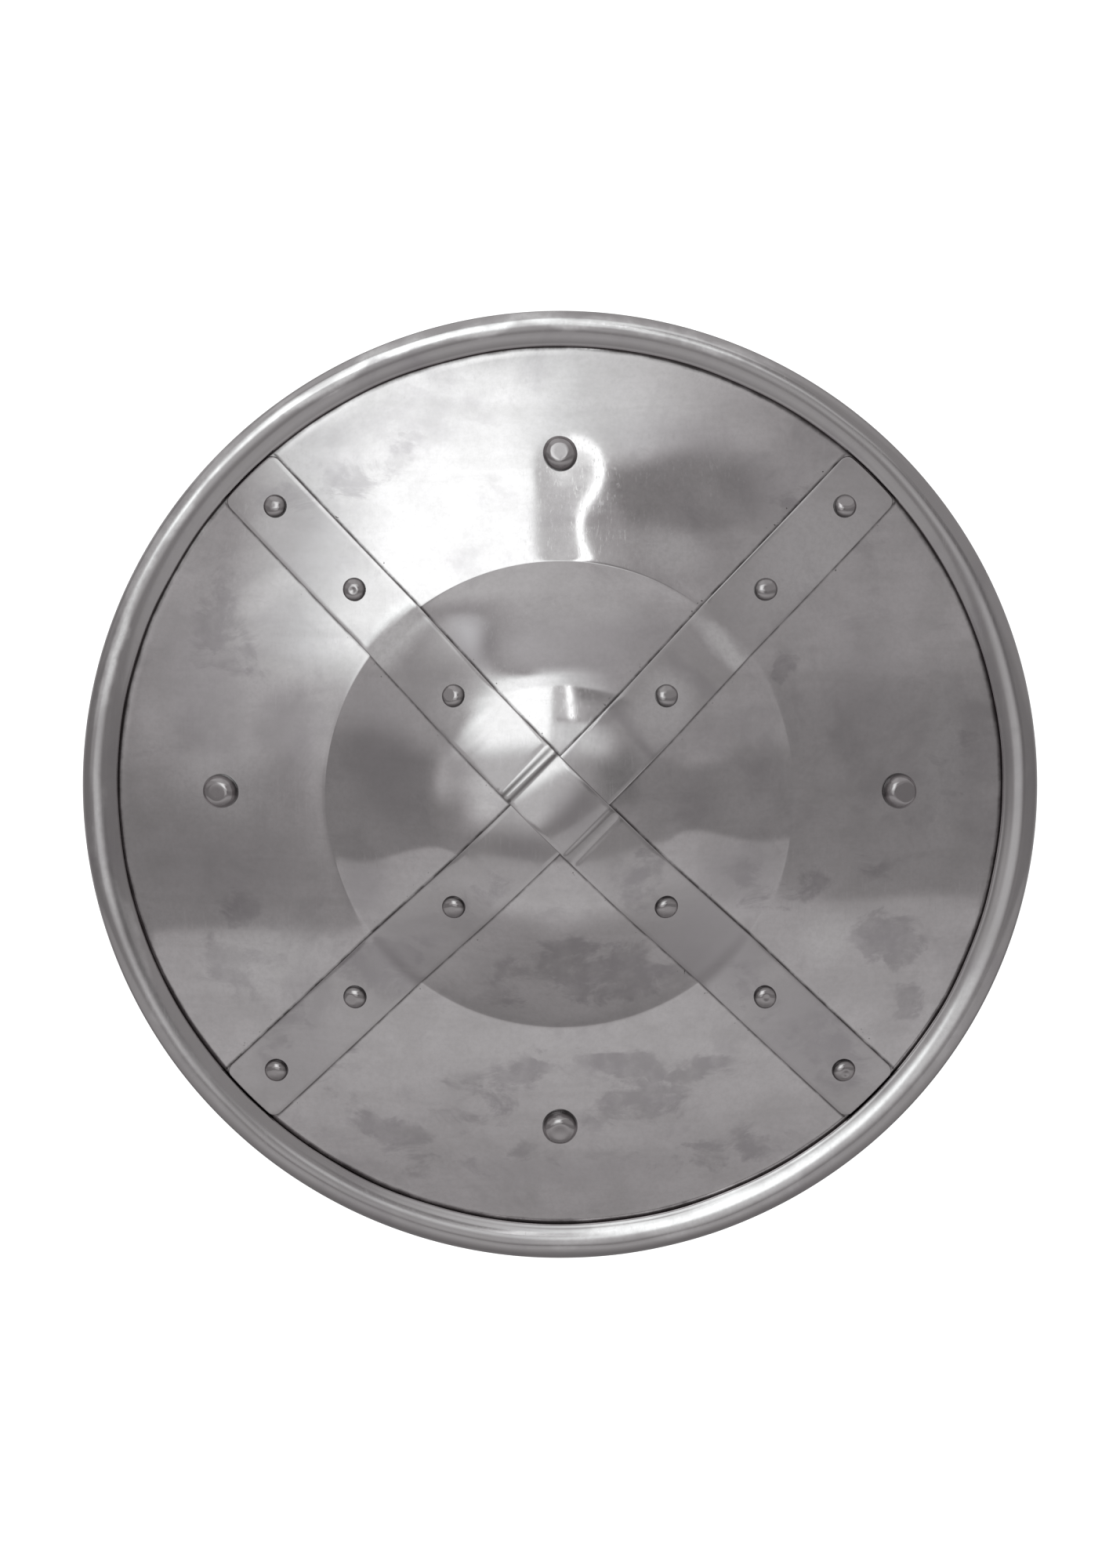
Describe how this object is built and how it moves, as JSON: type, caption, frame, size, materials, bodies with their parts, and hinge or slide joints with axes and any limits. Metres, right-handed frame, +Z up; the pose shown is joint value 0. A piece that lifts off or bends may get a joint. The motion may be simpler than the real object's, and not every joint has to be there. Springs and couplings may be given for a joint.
{
  "type": "buckler",
  "caption": "Round dished steel buckler with a centre boss, a rolled rim, crossed riveted bands, and leather straps for hand and forearm behind it.",
  "frame": {"origin": "on the shield's axis, in the plane of the rim's flat back", "axes": "+Z up, face to -Y, +X to the right as the face is seen"},
  "size_m": [0.35, 0.1163, 0.35],
  "materials": {
    "plate_steel": "polished, with faint cloudy stains and fine scratches",
    "rim_steel": "polished by hand along the roll",
    "band_steel": "polished, with small tool marks and darker edges",
    "rivet_steel": "hammered round heads, polished on top and dark at the foot",
    "washer_steel": "plain, slightly dull",
    "wire_steel": "dull drawn wire",
    "strap_leather": "dark brown vegetable-tanned leather, edges burnished",
    "buckle_brass": "cast brass, lightly worn"
  },
  "bodies": {
    "shield": {"shield_plate": "plate_steel", "rim_binding": "rim_steel", "rim_wire": "wire_steel", "band_lower": "band_steel", "band_upper": "band_steel", "band_rivet_upper_right_inner": "rivet_steel", "band_rivet_upper_right_middle": "rivet_steel", "band_rivet_upper_right_outer": "rivet_steel", "band_rivet_upper_left_inner": "rivet_steel", "band_rivet_upper_left_middle": "rivet_steel", "band_rivet_upper_left_outer": "rivet_steel", "band_rivet_lower_left_inner": "rivet_steel", "band_rivet_lower_left_middle": "rivet_steel", "band_rivet_lower_left_outer": "rivet_steel", "band_rivet_lower_right_inner": "rivet_steel", "band_rivet_lower_right_middle": "rivet_steel", "band_rivet_lower_right_outer": "rivet_steel", "strap_rivet_east": "rivet_steel", "strap_rivet_north": "rivet_steel", "strap_rivet_west": "rivet_steel", "strap_rivet_south": "rivet_steel", "strap_washer_east": "washer_steel", "strap_washer_north": "washer_steel", "strap_washer_west": "washer_steel", "strap_washer_south": "washer_steel", "grip_strap": "strap_leather", "arm_strap_buckle_end": "strap_leather", "arm_strap_billet": "strap_leather", "keeper_loop": "strap_leather"},
    "buckle": {"buckle_frame": "buckle_brass"},
    "tongue": {"buckle_tongue": "buckle_brass"}
  },
  "joints": [
    {"name": "buckle_swing", "type": "hinge", "parent": "shield", "child": "buckle", "pos_m": [0.02199, 0.01551, -0.09138], "axis": [-0.6895, -0.2218, 0.6895], "range_deg": [0, 8]},
    {"name": "tongue_swing", "type": "hinge", "parent": "buckle", "child": "tongue", "pos_m": [0.02199, 0.01551, -0.09138], "axis": [-0.6895, -0.2218, 0.6895], "range_deg": [0, 12]}
  ]
}
